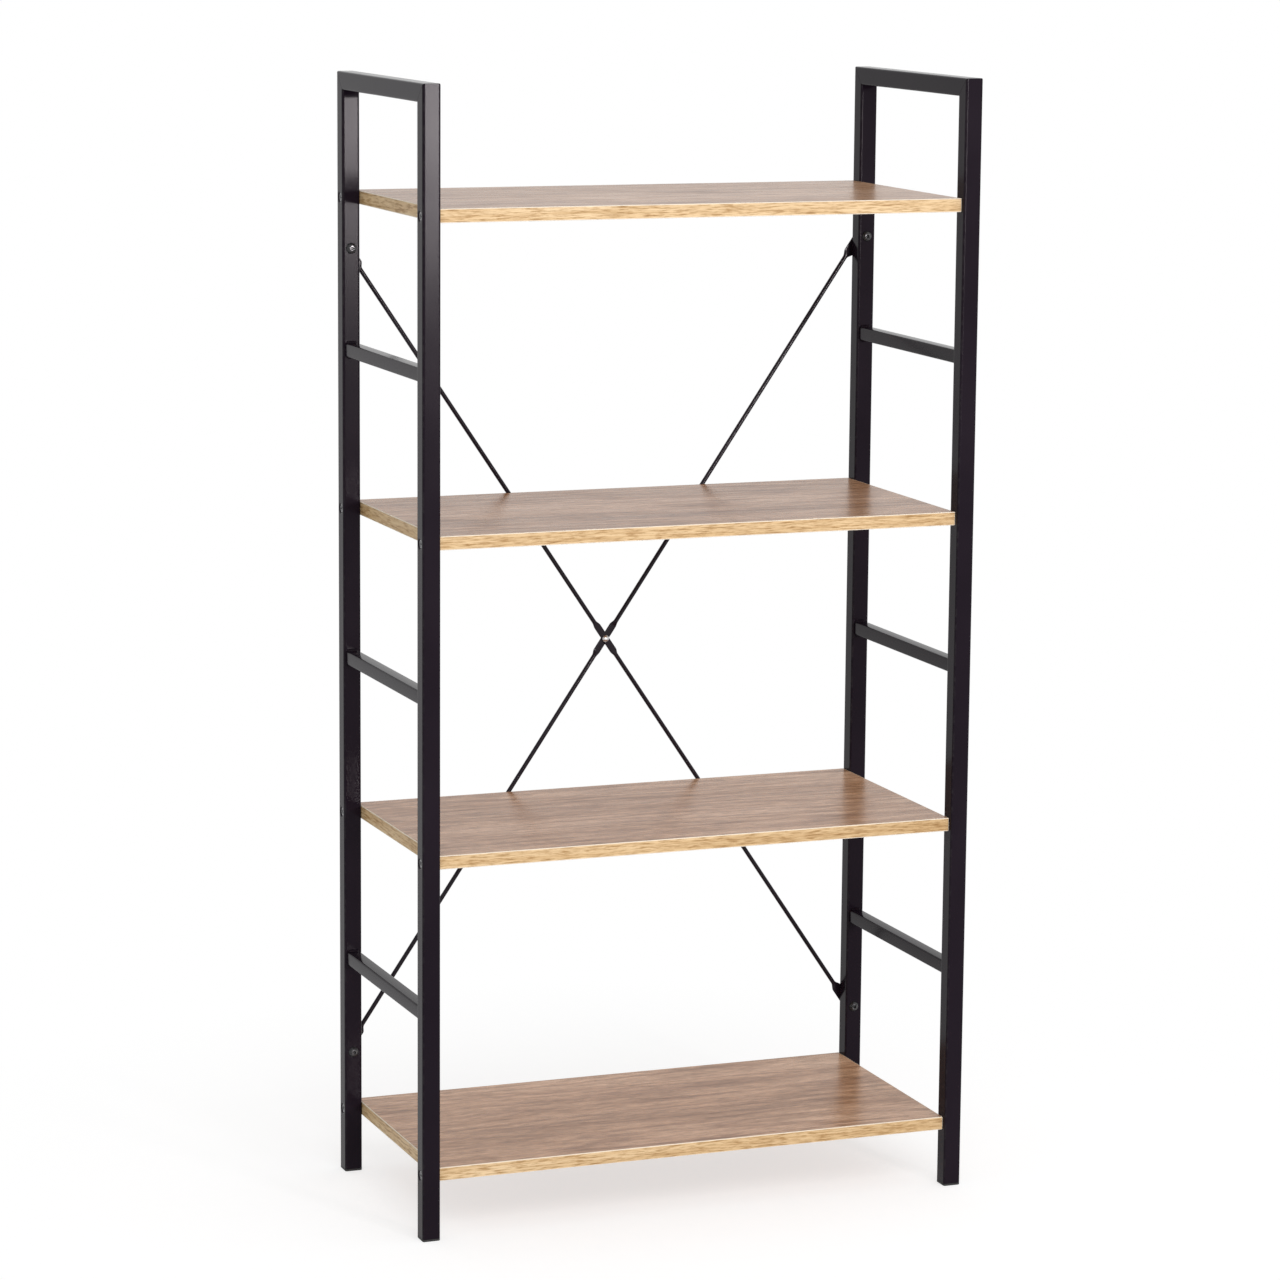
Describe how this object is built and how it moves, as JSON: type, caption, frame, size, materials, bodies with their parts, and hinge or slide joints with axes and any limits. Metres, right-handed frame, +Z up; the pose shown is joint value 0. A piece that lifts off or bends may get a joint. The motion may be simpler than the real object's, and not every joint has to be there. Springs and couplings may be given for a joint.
{
  "type": "shelving unit",
  "caption": "Tall open shelving unit: wooden boards between two black square-tube side frames, with crossed rods at the back.",
  "frame": {"origin": "on the floor, at the middle of the unit's width and of its whole depth with the bolts behind", "axes": "+X to the unit's right seen from the front, +Y to the rear where the rods cross, +Z up"},
  "size_m": [0.64, 0.31, 1.245],
  "materials": {
    "black_powder_coat": "fine-textured semi-matt powder coat",
    "oak_laminate": "oak-grain laminate with a satin sheen",
    "oak_edging": "oak-grain edging strip, satin",
    "black_plastic": "moulded, matt",
    "black_fasteners": "black-passivated steel, satin",
    "zinc_plated_steel": "bright zinc plate"
  },
  "bodies": {
    "root": {"front_left_upright": "black_powder_coat", "rear_left_upright": "black_powder_coat", "left_top_rail": "black_powder_coat", "left_rung_1": "black_powder_coat", "left_rung_2": "black_powder_coat", "left_rung_3": "black_powder_coat", "left_frame_welds": "black_powder_coat", "front_right_upright": "black_powder_coat", "rear_right_upright": "black_powder_coat", "right_top_rail": "black_powder_coat", "right_rung_1": "black_powder_coat", "right_rung_2": "black_powder_coat", "right_rung_3": "black_powder_coat", "right_frame_welds": "black_powder_coat", "foot_plugs": "black_plastic", "shelf_1_board": "oak_laminate", "shelf_1_end_edging": "oak_edging", "shelf_1_front_edging": "oak_edging", "shelf_1_rear_edging": "oak_edging", "shelf_2_board": "oak_laminate", "shelf_2_end_edging": "oak_edging", "shelf_2_front_edging": "oak_edging", "shelf_2_rear_edging": "oak_edging", "shelf_3_board": "oak_laminate", "shelf_3_end_edging": "oak_edging", "shelf_3_front_edging": "oak_edging", "shelf_3_rear_edging": "oak_edging", "shelf_4_board": "oak_laminate", "shelf_4_end_edging": "oak_edging", "shelf_4_front_edging": "oak_edging", "shelf_4_rear_edging": "oak_edging", "shelf_screws": "black_fasteners", "brace_rod_rising": "black_powder_coat", "brace_rod_falling": "black_powder_coat", "brace_centre_rivet": "zinc_plated_steel", "brace_bolts": "black_fasteners", "brace_washers": "zinc_plated_steel", "brace_nuts": "zinc_plated_steel"}
  },
  "joints": []
}
